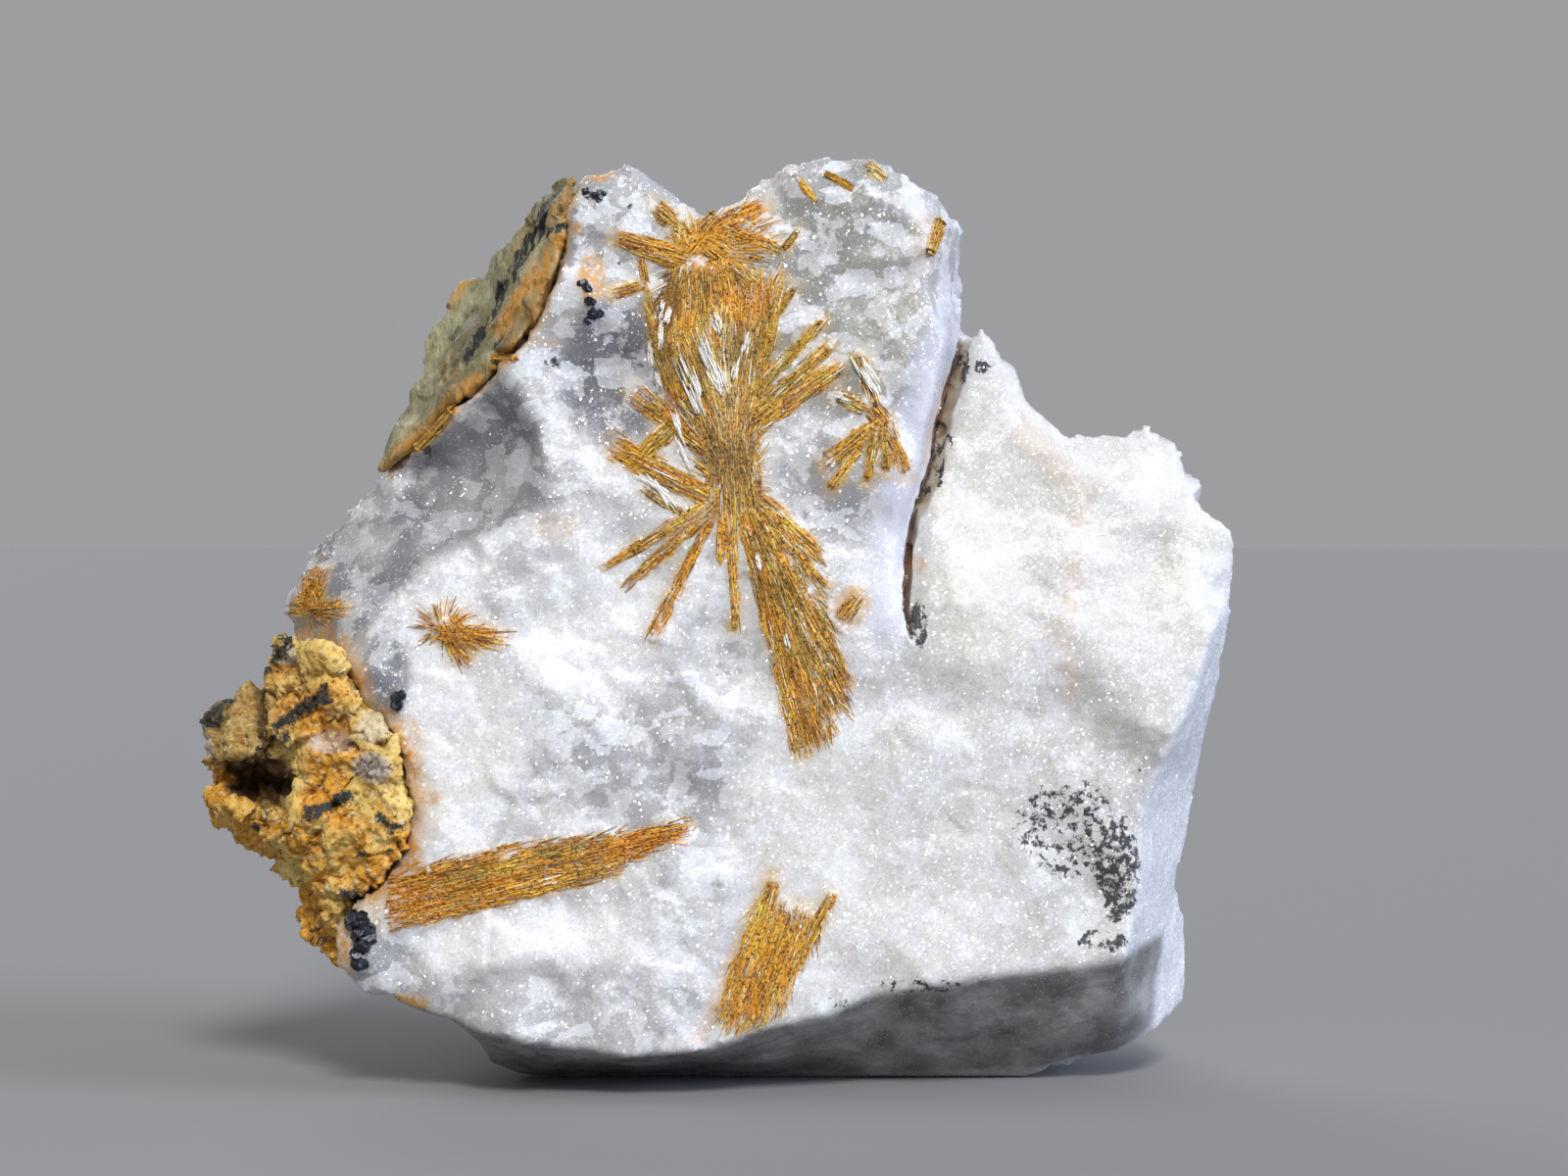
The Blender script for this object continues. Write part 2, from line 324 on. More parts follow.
# Suns: direction that the light comes from, strength, softness in degrees, colour
SUNS = {
    "key": ((0.15, -1.05, 0.9), 2.2, 14, (1.0, 0.975, 0.935)),
    "right": ((1.0, -0.3, 0.35), 2.2, 25, (0.66, 0.76, 1.0)),
    "back": ((-0.5, 1.0, 0.8), 0.6, 30, (1.0, 1.0, 1.0)),
}
SKY, SKY_STRENGTH = (0.60, 0.61, 0.63, 1), 0.56
FLOOR = (0.265, 0.265, 0.27, 1)


def cell_random(cells, channel):
    """Repeatable random numbers from 0 to 1, one for each whole-numbered cell."""
    n = (cells[:, 0] * 73856093) ^ (cells[:, 1] * 19349663) ^ (cells[:, 2] * 83492791) ^ (channel * 6542989)
    n = ((n ^ (n >> 13)) * 1274126177) & 0x7FFFFFFF
    n = ((n ^ (n >> 15)) * 668265263) & 0x7FFFFFFF
    return ((n ^ (n >> 12)) & 0xFFFF) / 65536.0


def smooth(t):
    t = np.clip(t, 0, 1)
    return t * t * (3 - 2 * t)


def value_noise(points, size, channel=0):
    """Smooth noise from -1 to 1, with features of about that size."""
    at = points / size + 100.5
    base = np.floor(at).astype(np.int64)
    share = smooth(at - base)
    total = np.zeros(len(points))
    for corner in np.ndindex(2, 2, 2):
        weight = np.prod(np.where(np.array(corner), share, 1 - share), axis=1)
        total += weight * cell_random(base + np.array(corner), channel)
    return total * 2 - 1


def cloud(points, size, octaves, channel=0):
    return sum(value_noise(points, size / 2 ** k, channel + k) / 2 ** k for k in range(octaves))


def cells(points, size, channel=0):
    """Nearest scattered centre of each point: (cell number, offset from the centre, gap to the next cell)."""
    at = points / size + 50.0
    base = np.floor(at).astype(np.int64)
    best = np.full(len(points), 1e9)
    second = best.copy()
    where = np.zeros_like(base)
    offset = np.zeros_like(at)
    for step in np.ndindex(3, 3, 3):
        cell = base + np.array(step) - 1
        jitter = np.stack([cell_random(cell, channel + k) for k in (11, 12, 13)], axis=1)
        away = at - cell - jitter
        d = (away ** 2).sum(1)
        closer = d < best
        second = np.where(closer, best, np.minimum(second, d))
        best = np.where(closer, d, best)
        where[closer] = cell[closer]
        offset[closer] = away[closer]
    return where, offset * size, np.sqrt(second) - np.sqrt(best)


def facets(points, size, gain, channel=0):
    """Broken-stone relief in millimetres: each cell is a flat face with a tilt of its own."""
    where, offset, _ = cells(points, size, channel)
    tilt = np.stack([cell_random(where, channel + k) for k in (21, 22, 23)], axis=1) - 0.5
    return (offset * tilt).sum(1) * 2 * gain


def to_segment(x, z, x0, z0, x1, z1):
    """How far along a segment each point lies, from 0 to 1, and its distance to it."""
    long = max((x1 - x0) ** 2 + (z1 - z0) ** 2, 1e-9)
    along = np.clip(((x - x0) * (x1 - x0) + (z - z0) * (z1 - z0)) / long, 0, 1)
    return along, np.hypot(x - x0 - along * (x1 - x0), z - z0 - along * (z1 - z0))


def line_distance(x, z, line):
    """Distance of each point to a line of points."""
    return np.minimum.reduce([to_segment(x, z, *a, *b)[1] for a, b in zip(line, line[1:])])


def beside(x, z, line, reach, soft):
    """1 on a line and 0 beyond its reach."""
    return smooth((reach - line_distance(x, z, line)) / soft)


def region(x, z, polygon, soft=0.6):
    """1 in the polygon and 0 outside, with a soft edge."""
    found = np.zeros(len(x), bool)
    for (x0, z0), (x1, z1) in zip(polygon, polygon[1:] + polygon[:1]):
        if z0 != z1:
            found ^= ((z0 > z) != (z1 > z)) & (x < x0 + (x1 - x0) * (z - z0) / (z1 - z0))
    d = line_distance(x, z, polygon + polygon[:1])
    return smooth(0.5 + np.where(found, d, -d) / (2 * soft))


def patches(x, z, table):
    """The strength of the strongest soft-edged ellipse at each point."""
    total = np.zeros(len(x))
    for cx, cz, half_width, half_height, strength in table:
        r = ((x - cx) / half_width) ** 2 + ((z - cz) / half_height) ** 2
        total = np.maximum(total, strength * smooth(1.6 - r * 0.9))
    return total


def points_of(mesh):
    co = np.empty(len(mesh.vertices) * 3)
    mesh.vertices.foreach_get("co", co)
    return co.reshape(-1, 3)


def normals_of(mesh):
    out = np.empty(len(mesh.vertices) * 3, np.float32)
    mesh.vertex_normals.foreach_get("vector", out)
    return out.reshape(-1, 3).astype(float)


def set_points(mesh, co):
    mesh.vertices.foreach_set("co", co.astype(np.float32).ravel())
    mesh.update()


def set_attribute(mesh, name, values):
    layer = mesh.attributes.new(name, "FLOAT", "POINT")
    layer.data.foreach_set("value", np.asarray(values, np.float32))


def paint(mesh, colours):
    """Stores a colour for each point, which the material reads as its tint."""
    layer = mesh.attributes.new("tint", "FLOAT_COLOR", "POINT")
    rgba = np.ones((len(mesh.vertices), 4), np.float32)
    rgba[:, :3] = colours
    layer.data.foreach_set("color", rgba.ravel())


def blend(colours, share, colour):
    """Mixes a share of one colour into each point's own."""
    return colours + share[:, None] * (np.asarray(colour) - colours)


def taper_lines(x, z, lines, soft=0.25):
    """1 on lines of x, z, half width, and 0 beside them."""
    total = np.zeros(len(x))
    for line in lines:
        for (x0, z0, w0), (x1, z1, w1) in zip(line, line[1:]):
            t, d = to_segment(x, z, x0, z0, x1, z1)
            total = np.maximum(total, smooth(0.5 + (w0 + (w1 - w0) * t - d) / (2 * soft)))
    return total


def place(name, mesh, material, node):
    """Puts a piece in the scene, in the place of its CAD node."""
    obj = bpy.data.objects.new(name, mesh)
    bpy.context.scene.collection.objects.link(obj)
    mesh.materials.clear()
    mesh.materials.append(material)
    mesh.shade_smooth()
    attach(obj, "root")
    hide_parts(node)
    return obj


def skin(name, nodes, voxel):
    """One closed skin over the CAD nodes, of even squares, without the hollows that are shut in."""
    bm = bmesh.new()
    for node in nodes:
        bm.from_mesh(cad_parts[node].data)
    mesh = bpy.data.meshes.new(name)
    bm.to_mesh(mesh)
    bm.free()
    rough = bpy.data.objects.new(name + "_rough", mesh)
    bpy.context.scene.collection.objects.link(rough)
    remesh = rough.modifiers.new("skin", "REMESH")
    remesh.mode = "VOXEL"
    remesh.voxel_size = voxel * MM
    graph = bpy.context.evaluated_depsgraph_get()
    bm = bmesh.new()
    bm.from_mesh(rough.evaluated_get(graph).to_mesh())
    bpy.data.objects.remove(rough)
    keep_largest(bm)
    return bm


def keep_largest(bm):
    """Deletes all but the connected shell with the most points."""
    unseen = set(bm.verts)
    shells = []
    while unseen:
        stack = [unseen.pop()]
        shell = []
        while stack:
            v = stack.pop()
            shell.append(v)
            for e in v.link_edges:
                other = e.other_vert(v)
                if other in unseen:
                    unseen.remove(other)
                    stack.append(other)
        shells.append(shell)
    shells.sort(key=len)
    bmesh.ops.delete(bm, geom=[v for shell in shells[:-1] for v in shell], context="VERTS")


def finer_front(bm, limit):
    """Splits the faces that look at the viewer more than the limit says."""
    bm.normal_update()
    edges = [e for e in bm.edges if any(f.normal.y < limit for f in e.link_faces)]
    bmesh.ops.subdivide_edges(bm, edges=edges, cuts=1, use_grid_fill=True)


def finer_beside(bm, line, reach):
    """Splits the front faces within reach of a line."""
    edges = [e for e in bm.edges if e.verts[0].normal.y < -0.2]
    middle = np.array([(e.verts[0].co + e.verts[1].co) / 2 for e in edges]) / MM
    near = line_distance(middle[:, 0], middle[:, 2], line) < reach
    bmesh.ops.subdivide_edges(bm, edges=[e for e, n in zip(edges, near) if n], cuts=1, use_grid_fill=True)


def to_mesh(bm, name):
    mesh = bpy.data.meshes.new(name)
    bm.to_mesh(mesh)
    bm.free()
    return mesh


def relax(mesh, passes, share=1.0):
    """Evens out the steps of the squares, by a share for each point."""
    co = points_of(mesh)
    ends = np.empty(len(mesh.edges) * 2, np.int32)
    mesh.edges.foreach_get("vertices", ends)
    a, b = ends.reshape(-1, 2).T
    count = np.bincount(a, minlength=len(co)) + np.bincount(b, minlength=len(co))
    for _ in range(passes):
        total = np.zeros_like(co)
        for axis in range(3):
            total[:, axis] = np.bincount(a, co[b, axis], len(co)) + np.bincount(b, co[a, axis], len(co))
        co = co + (total / count[:, None] - co) * 0.6 * np.reshape(share, (-1, 1))
    set_points(mesh, co)


# Materials

def new_material(name):
    """A new material, its node tree and its shader."""
    material = bpy.data.materials.new(name)
    material.use_nodes = True
    return material, material.node_tree, material.node_tree.nodes["Principled BSDF"]


def set_sockets(tree, node, values):
    """Sets each input to a value, or links it to the socket of another node."""
    for key, value in values.items():
        if isinstance(value, bpy.types.NodeSocket):
            tree.links.new(value, node.inputs[key])
        else:
            node.inputs[key].default_value = value


def put(tree, kind, inputs, **settings):
    """Adds a node."""
    made = tree.nodes.new(kind)
    for key, value in settings.items():
        setattr(made, key, value)
    set_sockets(tree, made, inputs)
    return made


def at_mm(tree):
    """Position on the object, in millimetres."""
    spot = put(tree, "ShaderNodeTexCoord", {}).outputs["Object"]
    return put(tree, "ShaderNodeVectorMath", {0: spot, "Scale": 1000.0}, operation="SCALE").outputs[0]


def noise(tree, at, size, detail, roughness):
    """Noise with features of about that size, in millimetres."""
    inputs = {"Vector": at, "Scale": 1 / size, "Detail": detail, "Roughness": roughness}
    return put(tree, "ShaderNodeTexNoise", inputs).outputs["Fac"]


def grains(tree, at, per_mm):
    """Grains with a random colour each."""
    return put(tree, "ShaderNodeTexVoronoi", {"Vector": at, "Scale": per_mm})


def chances(tree, texture):
    """Three random numbers for each grain."""
    return put(tree, "ShaderNodeSeparateColor", {0: texture.outputs["Color"]}).outputs


def step(tree, value, low, high, bottom=0.0, top=1.0):
    """Maps low..high to bottom..top, and holds the ends."""
    inputs = {"Value": value, "From Min": low, "From Max": high, "To Min": bottom, "To Max": top}
    return put(tree, "ShaderNodeMapRange", inputs).outputs[0]


def maths(tree, operation, a, b):
    return put(tree, "ShaderNodeMath", {0: a, 1: b}, operation=operation).outputs[0]


def times(tree, a, b):
    return maths(tree, "MULTIPLY", a, b)


def mix(tree, share, a, b):
    a = (*a, 1.0) if isinstance(a, tuple) else a
    b = (*b, 1.0) if isinstance(b, tuple) else b
    return put(tree, "ShaderNodeMix", {0: share, 6: a, 7: b}, data_type="RGBA").outputs[2]


def mask(tree, name):
    """The strength that was set on the points under that name."""
    return put(tree, "ShaderNodeAttribute", {}, attribute_name=name).outputs["Fac"]


def painted(tree):
    """The colour that was painted on the points."""
    return put(tree, "ShaderNodeAttribute", {}, attribute_name="tint").outputs["Color"]


def bump(tree, height, depth_mm, normal=None):
    inputs = {"Height": height, "Distance": depth_mm * MM, "Strength": 1.0}
    if normal is not None:
        inputs["Normal"] = normal
    return put(tree, "ShaderNodeBump", inputs).outputs[0]


def leaning(tree, texture, strength):
    """The surface normal, leaning another way on each grain."""
    middle = (0.5, 0.5, 0.5)
    tilt = put(tree, "ShaderNodeVectorMath", {0: texture.outputs["Color"], 1: middle}, operation="SUBTRACT")
    push = put(tree, "ShaderNodeVectorMath", {0: tilt.outputs[0], "Scale": strength}, operation="SCALE")
    flat = put(tree, "ShaderNodeNewGeometry", {}).outputs["Normal"]
    total = put(tree, "ShaderNodeVectorMath", {0: flat, 1: push.outputs[0]}, operation="ADD")
    return put(tree, "ShaderNodeVectorMath", {0: total.outputs[0]}, operation="NORMALIZE").outputs[0]


def quartz_material():
    milk, blue_white, point_white = (0.92, 0.92, 0.93), (0.90, 0.92, 0.97), (0.97, 0.97, 1.0)
    grain_grey, rust_brown, speck_black = (0.36, 0.36, 0.39), (0.66, 0.34, 0.07), (0.045, 0.042, 0.045)
    material, tree, shader = new_material("milky_quartz")
    at = at_mm(tree)
    # One noise gives the milky veils and bends the outlines of the flakes
    veil = put(tree, "ShaderNodeTexNoise", {"Vector": at, "Scale": 0.40, "Detail": 5.0, "Roughness": 0.56})
    bend = {0: veil.outputs["Color"], 1: (2.6, 2.6, 2.6), 2: at}
    bent = put(tree, "ShaderNodeVectorMath", bend, operation="MULTIPLY_ADD").outputs[0]
    turned = put(tree, "ShaderNodeMapping", {"Vector": bent, "Rotation": (0, 0.7, 0), "Scale": (0.42, 0.6, 0.7)})
    flake = put(tree, "ShaderNodeTexVoronoi", {"Vector": turned.outputs[0], "Scale": 0.8}, distance="MANHATTAN")
    grain = grains(tree, at, 5.4)
    chance = chances(tree, grain)
    flaky = mask(tree, "flaky")
    veiled = times(tree, step(tree, veil.outputs["Fac"], 0.51, 0.555, 0.0, 0.5), flaky)
    colour = mix(tree, veiled, painted(tree), milk)
    flaked = times(tree, step(tree, chances(tree, flake)[0], 0.74, 0.77, 0.0, 0.6), flaky)
    colour = mix(tree, flaked, colour, blue_white)
    # Sugary grains: most are dull, a few are bright points
    sugar = mask(tree, "sugar")
    colour = mix(tree, step(tree, chance[0], 0.0, 0.5, 0.15, 0.0), colour, grain_grey)
    point = times(tree, step(tree, chance[1], 0.82, 0.87), step(tree, grain.outputs["Distance"], 0.25, 0.45, 0.7, 0.0))
    colour = mix(tree, times(tree, point, sugar), colour, point_white)
    # Rust soaks in unevenly, and the black specks branch
    branch = noise(tree, at, 0.8, 5.0, 0.72)
    colour = mix(tree, times(tree, mask(tree, "rust"), step(tree, branch, 0.36, 0.56, 0.15, 1.0)), colour, rust_brown)
    specks = mask(tree, "speck")
    speck = step(tree, maths(tree, "ADD", times(tree, specks, 0.34), branch), 0.74, 0.80)
    colour = mix(tree, times(tree, speck, step(tree, specks, 0.02, 0.15)), colour, speck_black)
    set_sockets(tree, shader, {
        "Base Color": colour, "Roughness": step(tree, branch, 0.4, 0.6, 0.35, 0.5),
        "Normal": bump(tree, branch, 0.06, leaning(tree, grain, times(tree, sugar, 0.24))),
        "Coat Normal": leaning(tree, grain, times(tree, sugar, 1.2)),
        "Coat Weight": 0.7, "Coat Roughness": 0.13, "Coat IOR": 1.54, "IOR": 1.54,
        "Subsurface Weight": 0.35, "Subsurface Scale": 0.0016, "Subsurface Radius": (1.0, 0.95, 1.1),
    })
    return material


def ardennite_material():
    dark, straw, silver_white = (0.13, 0.045, 0.008), (0.92, 0.62, 0.20), (0.97, 0.95, 0.90)
    material, tree, shader = new_material("ardennite_fibres")
    mottle = noise(tree, at_mm(tree), 0.26, 4.0, 0.72)
    silver = mask(tree, "silver")
    colour = mix(tree, step(tree, mottle, 0.47, 0.40), painted(tree), dark)
    colour = mix(tree, step(tree, mottle, 0.54, 0.68, 0.0, 0.6), colour, straw)
    set_sockets(tree, shader, {
        "Base Color": mix(tree, silver, colour, silver_white), "Roughness": step(tree, silver, 0.0, 1.0, 0.33, 0.1),
        "Normal": bump(tree, mottle, 0.10), "IOR": 1.6, "Specular IOR Level": 0.35,
        "Coat Weight": 0.08, "Coat Roughness": 0.15,
    })
    return material


def crust_material():
    straw, cream = (1.0, 0.80, 0.40), (0.92, 0.80, 0.60)
    red_brown, rust_brown = (0.26, 0.08, 0.008), (0.34, 0.10, 0.012)
    metal_black, pit_black = (0.075, 0.075, 0.07), (0.035, 0.014, 0.006)
    material, tree, shader = new_material("ochre_crust")
    at = at_mm(tree)
    grain = grains(tree, at, 2.3)
    chance = chances(tree, grain)
    fine = noise(tree, at, 0.6, 5.0, 0.74)
    colour = mix(tree, step(tree, fine, 0.53, 0.62, 0.0, 0.85), painted(tree), straw)
    colour = mix(tree, step(tree, fine, 0.43, 0.35), colour, red_brown)
    colour = mix(tree, step(tree, chance[0], 0.94, 0.98, 0.0, 0.6), colour, cream)
    colour = mix(tree, step(tree, chance[1], 0.88, 0.92, 0.0, 0.5), colour, rust_brown)
    dark = step(tree, maths(tree, "ADD", mask(tree, "metal"), fine), 0.86, 0.98)
    colour = mix(tree, dark, colour, metal_black)
    set_sockets(tree, shader, {
        "Base Color": mix(tree, mask(tree, "pit"), colour, pit_black),
        "Roughness": step(tree, dark, 0.0, 1.0, 0.75, 0.32), "Metallic": times(tree, dark, 0.5),
        "Normal": bump(tree, fine, 0.4, leaning(tree, grain, 0.5)), "Specular IOR Level": 0.25,
    })
    return material


def rind_material():
    umber, olive_grey = (0.16, 0.13, 0.06), (0.68, 0.65, 0.44)
    rust_orange, streak_black = (0.72, 0.32, 0.03), (0.022, 0.022, 0.02)
    material, tree, shader = new_material("schist_rind")
    at = at_mm(tree)
    layers = {"Vector": at, "Rotation": (0, math.radians(-24.8), 0), "Scale": (1.0, 0.5, 0.3)}
    layered = put(tree, "ShaderNodeMapping", layers).outputs[0]
    band = noise(tree, layered, 1.1, 6.0, 0.66)
    colour = mix(tree, step(tree, band, 0.48, 0.36, 0.0, 0.6), painted(tree), umber)
    colour = mix(tree, step(tree, band, 0.53, 0.66, 0.0, 0.6), colour, olive_grey)
    ragged = noise(tree, layered, 0.7, 5.0, 0.75)
    colour = mix(tree, times(tree, mask(tree, "rust"), step(tree, ragged, 0.40, 0.54, 0.25, 1.0)), colour, rust_orange)
    black = step(tree, maths(tree, "ADD", mask(tree, "black"), step(tree, ragged, 0.3, 0.7)), 0.95, 1.10)
    set_sockets(tree, shader, {
        "Base Color": mix(tree, black, colour, streak_black), "Roughness": step(tree, black, 0.0, 1.0, 0.42, 0.32),
        "Normal": bump(tree, ragged, 0.5, leaning(tree, grains(tree, at, 1.8), 0.55)),
        "Coat Weight": 0.15, "Coat Roughness": 0.25,
    })
    return material


def hematite_material():
    iron_black, steel_grey, rust_brown = (0.025, 0.027, 0.034), (0.085, 0.09, 0.115), (0.36, 0.18, 0.04)
    material, tree, shader = new_material("hematite")
    fine = noise(tree, at_mm(tree), 0.5, 4.0, 0.6)
    colour = mix(tree, step(tree, fine, 0.4, 0.6), iron_black, steel_grey)
    set_sockets(tree, shader, {
        "Base Color": mix(tree, step(tree, fine, 0.66, 0.72, 0.0, 0.6), colour, rust_brown),
        "Roughness": step(tree, fine, 0.4, 0.6, 0.18, 0.42), "Normal": bump(tree, fine, 0.08), "Metallic": 0.8,
    })
    return material


def vein_material():
    brown, black = (0.20, 0.10, 0.065), (0.03, 0.028, 0.03)
    material, tree, shader = new_material("crack_filling")
    fine = noise(tree, at_mm(tree), 0.7, 5.0, 0.65)
    colour = mix(tree, step(tree, fine, 0.42, 0.58), painted(tree), brown)
    set_sockets(tree, shader, {
        "Base Color": mix(tree, step(tree, fine, 0.62, 0.68, 0.0, 0.8), colour, black),
        "Roughness": step(tree, fine, 0.4, 0.6, 0.45, 0.7), "Normal": bump(tree, fine, 0.2),
    })
    return material


# Pieces

def make_quartz(material):
    inset = [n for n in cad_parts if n.startswith(("ardennite", "hematite", "seam"))]
    bm = skin("quartz_stone", ["quartz_block", *inset], QUARTZ_VOXEL)
    bmesh.ops.smooth_vert(bm, verts=bm.verts, factor=0.5, use_axis_x=True, use_axis_y=True, use_axis_z=True)
    finer_front(bm, -0.25)
    finer_beside(bm, CRACK, 1.5)
    mesh = to_mesh(bm, "quartz_stone")
    relax(mesh, 3)
    start = points_of(mesh) / MM
    relax(mesh, 50, beside(start[:, 0], start[:, 2], CRACK, 1.7, 0.5))
    co, out = points_of(mesh) / MM, normals_of(mesh)
    x, z = co[:, 0], co[:, 2]

    # Areas of the stone, each from 0 to 1
    front = smooth((-0.05 - out[:, 1]) / 0.4)
    crack = line_distance(x, z, CRACK)
    slab = region(x, z, RIGHT_SLAB)
    upper = smooth((z - 38) / 3)
    bevel = front * (1 - slab) * smooth((4.2 - crack) / 1.2) * upper
    flank = region(x, z, FLANK)
    trough = front * region(x, z, TROUGH, 1.0)
    undercut = region(x, z, UNDERCUT) * smooth((-8 - co[:, 1]) / 2)
    calm = np.maximum.reduce([0.85 * bevel, 0.85 * flank, 0.65 * trough, 0.75 * undercut, 0.6 * slab * front])

    # Broken-stone relief, which is stronger at the back and dies out beside the crack
    relief = 0.05 * value_noise(co, 0.8, 14) + facets(co, 5.2, 0.09, 1)
    relief += facets(co, 2.1, 0.09, 2) + facets(co, 1.05, 0.08, 3)
    relief += 0.12 * cloud(co, 8.0, 3, 4) + 0.05 * value_noise(co, 1.1, 5)
    near = smooth((1.9 - crack) / 0.9) * upper
    push = (relief * (1.7 - 1.15 * front) * (1 - calm) + 0.3 * facets(co, 3.0, 0.12, 6)) * (1 - 0.9 * near)
    # The crack: a steep left lip, a deep line and a slanting right wall
    s = np.where(side_of(x, z, CRACK), crack, -crack)
    s += 0.12 * value_noise(co, 1.1, 15) * (crack < 2)
    width = np.interp(z, [39, 46, 50, 61, 64], [0.3, 0.4, 0.85, 1.1, 0.7]) * (1 + 0.4 * value_noise(co, 1.6, 16))
    fade = smooth((z - 38.6) / 1.5) * smooth((65.5 - z) / 1.5) * smooth((-0.15 - out[:, 1]) / 0.3)
    push -= 0.85 * smooth((s + 0.32) / 0.22) * np.clip(1 - s / width, 0, 1) * fade
    push -= 0.3 * smooth(1 - np.abs(s) / 0.25) * fade
    # The foot stays flat
    push *= smooth((z - 0.1) / 1.0)
    set_points(mesh, (co + out * push[:, None]) * MM)

    # Colours, laid over each other as shares
    wavering = 0.75 + 0.35 * cloud(co, 5.0, 3, 7)
    milk = 0.52 + 0.30 * cloud(co, 5.0, 5, 8) + 0.5 * front * patches(x, z, MILK_PATCHES)
    milk -= 0.55 * front * patches(x, z, GREY_PATCHES)
    milk = np.clip(milk - 0.1 * slab - 0.4 * trough - 0.5 * front * (1 - slab) * smooth((z - 56) / 8), 0, 1)
    shade = np.maximum(0.85 * trough * (0.9 + 0.5 * cloud(co, 4.0, 3, 13)), patches(x, z, LAVENDER_PATCHES) * front)
    beside_seam = 0.55 * front * beside(x, z, SEAM, 2.2, 1.5) * (1 - slab)
    lavender = np.maximum.reduce([0.9 * bevel, flank, beside_seam])
    cream = front * np.maximum(patches(x, z, CREAM_PATCHES), 0.3 * slab) * (1 - flank)
    peach = beside(x, z, PEACH_STREAK, 1.6, 1.5)
    pink = beside(x, z, SELVAGE, 0.7, 0.5)
    wall = smooth((s + 0.3) / 0.2) * smooth(1.25 - s / width) * fade
    stain = beside(x, z, CRACK_STAIN, 1.1, 1.0) * (1 - slab)
    back = smooth(out[:, 1] / 0.5) * smooth(cloud(co, 9.0, 4, 11) * 1.6)
    halo = np.zeros(len(co))  # the stone is stained around the laths
    for x0, z0, x1, z1, w0, w1, _ in (row for name in STAINING for row in SPRAYS[name]):
        d = line_distance(x, z, [(x0, z0), (x1, z1)]) - (w0 + w1) / 4
        halo = np.maximum(halo, smooth((0.8 - d) / 0.9))
    colours = QUARTZ_GREY
    for share, colour in (
        (milk, QUARTZ_WHITE), (0.91 * np.clip(shade, 0, 1), SHADE_GREY),
        (0.75 * np.clip(lavender * wavering, 0, 1), LAVENDER), (0.45 * bevel * wavering, PALE_LAVENDER),
        (0.95 * flank * (0.85 + 0.2 * wavering), FLANK_BLUE), (0.5 * slab * front, SLAB_GREY),
        (0.75 * front * patches(x, z, HORN_PATCHES), HORN_GREY),
        (0.75 * np.clip(cream * wavering, 0, 1), CREAM_QUARTZ),
        (front * np.maximum(0.35 * peach, 0.7 * pink), PEACH),
        (undercut * (0.78 + 0.2 * cloud(co, 3.0, 3, 9)), UNDERCUT_BLACK),
        (wall * np.clip(0.75 + 0.5 * value_noise(co, 0.9, 10), 0, 1), WALL_BROWN),
        (0.9 * np.clip(1 - np.abs(s) / 0.33, 0, 1) * fade, CRACK_RED), (0.65 * front * stain, STAIN_BROWN),
        (0.35 * back, BACK_BROWN), (front * halo * (0.45 + 0.5 * cloud(co, 1.2, 3, 12)), HALO_OCHRE),
    ):
        colours = blend(colours, share, colour)
    paint(mesh, colours)
    rust = np.maximum.reduce([
        patches(x, z, RUST_PATCHES), beside(x, z, CRUST_EDGE, 2.4, 1.8), 0.9 * beside(x, z, RIND_CREASE, 0.9, 0.8),
    ])
    set_attribute(mesh, "rust", np.maximum(front * rust, 0.4 * back))
    set_attribute(mesh, "speck", np.maximum(front, 0.6 * undercut) * patches(x, z, SPECK_PATCHES))
    set_attribute(mesh, "sugar", (0.95 - 0.5 * np.maximum(bevel, undercut)) * (1 - wall))
    set_attribute(mesh, "flaky", (1 - 0.75 * calm) * (1 - wall) * (1 - 0.7 * undercut) * (0.55 + 0.45 * front))
    return place("quartz_stone", mesh, material, "quartz_block")


def side_of(x, z, line):
    """True on the right of a line that runs from the top down."""
    zs = np.array([p[1] for p in line])[::-1]
    xs = np.array([p[0] for p in line])[::-1]
    return x > np.interp(z, zs, xs)


